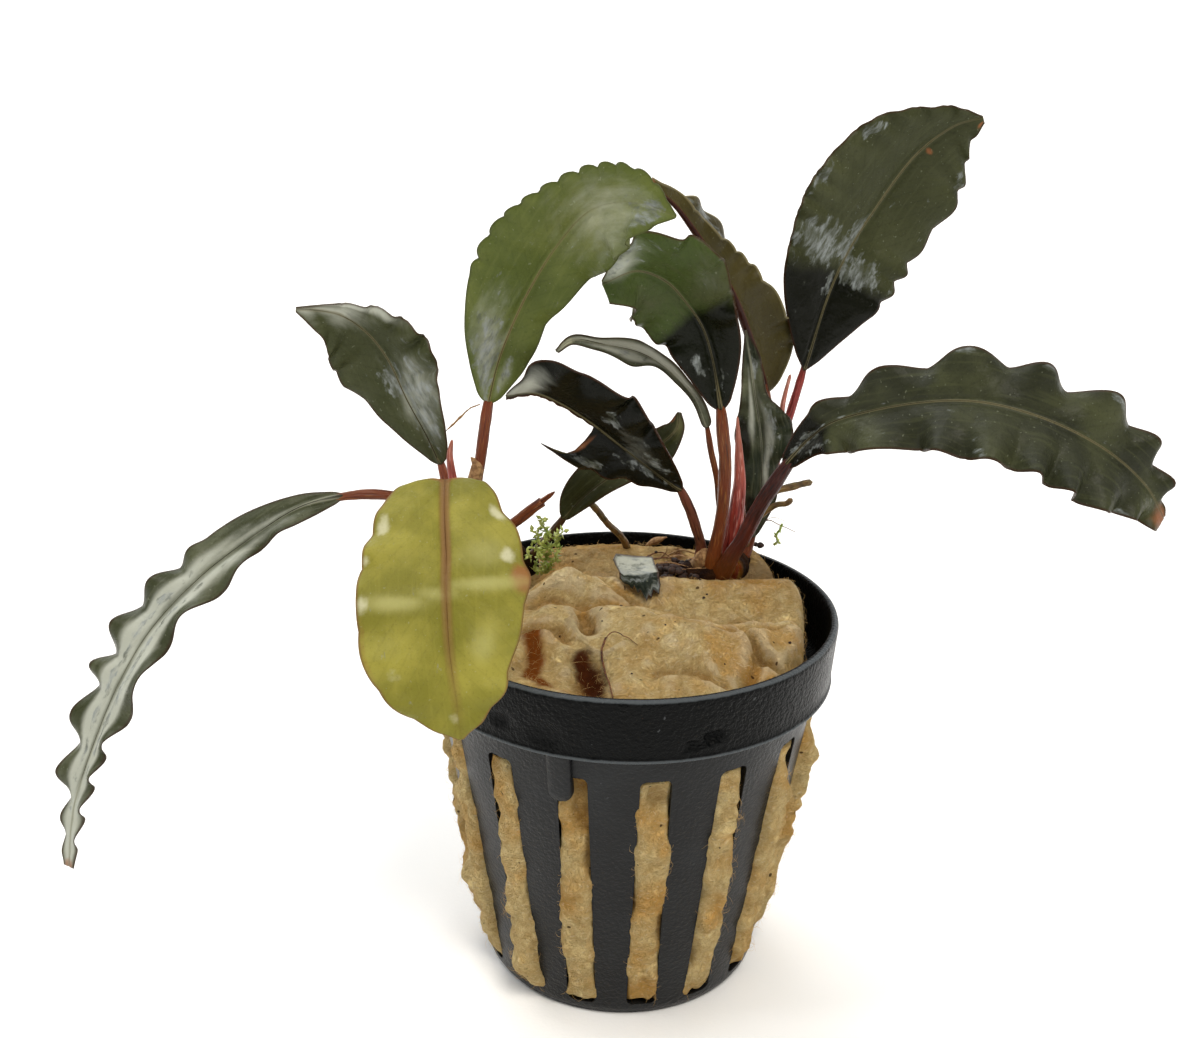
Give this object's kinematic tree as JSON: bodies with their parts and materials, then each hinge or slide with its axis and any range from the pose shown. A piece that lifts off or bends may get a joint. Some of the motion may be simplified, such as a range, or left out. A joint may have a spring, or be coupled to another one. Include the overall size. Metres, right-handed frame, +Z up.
{
  "type": "potted dwarf aquarium plant",
  "caption": "Small creeping aquarium plant with wavy leathery leaves on thin red stalks, held in tan rock wool in a black slotted net pot.",
  "frame": {"origin": "centre of the pot's flat base", "axes": "+Z up out of the pot, -Y towards the front of the pot, +X towards the long arching leaf on the right"},
  "size_m": [0.1251, 0.0564, 0.1076],
  "materials": {
    "pot_plastic": "injection-moulded black polypropylene, satin, fine orange peel",
    "rock_wool": "matted mineral wool fibre, matt, tan with brown stains",
    "rhizome": "rough reddish-brown rhizome",
    "dark_leaf": "thick waxy leaf, olive-black green, glossy when wet",
    "silver_leaf": "thick waxy leaf, grey-green with a silvery sheen",
    "olive_leaf": "leaf underside, olive brown, satin",
    "green_leaf": "thin waxy leaf, bright green, satin",
    "yellow_leaf": "ageing leaf, yellow green, satin",
    "young_leaf": "young rolled leaf, pink red, satin",
    "stalk": "round leaf stalk, red brown, satin",
    "root": "thin bare root, olive brown"
  },
  "bodies": {
    "root": {"pot": "pot_plastic", "wool_front": "rock_wool", "wool_back": "rock_wool", "rhizome_right": "rhizome", "rhizome_left": "rhizome", "leaf_upper_right": "dark_leaf", "leaf_long_right": "dark_leaf", "leaf_centre_broad": "dark_leaf", "leaf_notched": "dark_leaf", "leaf_low_dark": "dark_leaf", "leaf_upper_left": "dark_leaf", "leaf_back_silver": "silver_leaf", "leaf_silver_rising": "silver_leaf", "leaf_long_left": "silver_leaf", "leaf_twisted": "olive_leaf", "leaf_left_green": "green_leaf", "leaf_front_yellow": "yellow_leaf", "leaf_scrap": "dark_leaf", "bud_centre": "young_leaf", "bud_back": "young_leaf", "bud_left": "young_leaf", "cut_stalk": "stalk", "arching_root": "root", "root_stub_right": "root", "root_curl_right": "root"}
  },
  "joints": []
}
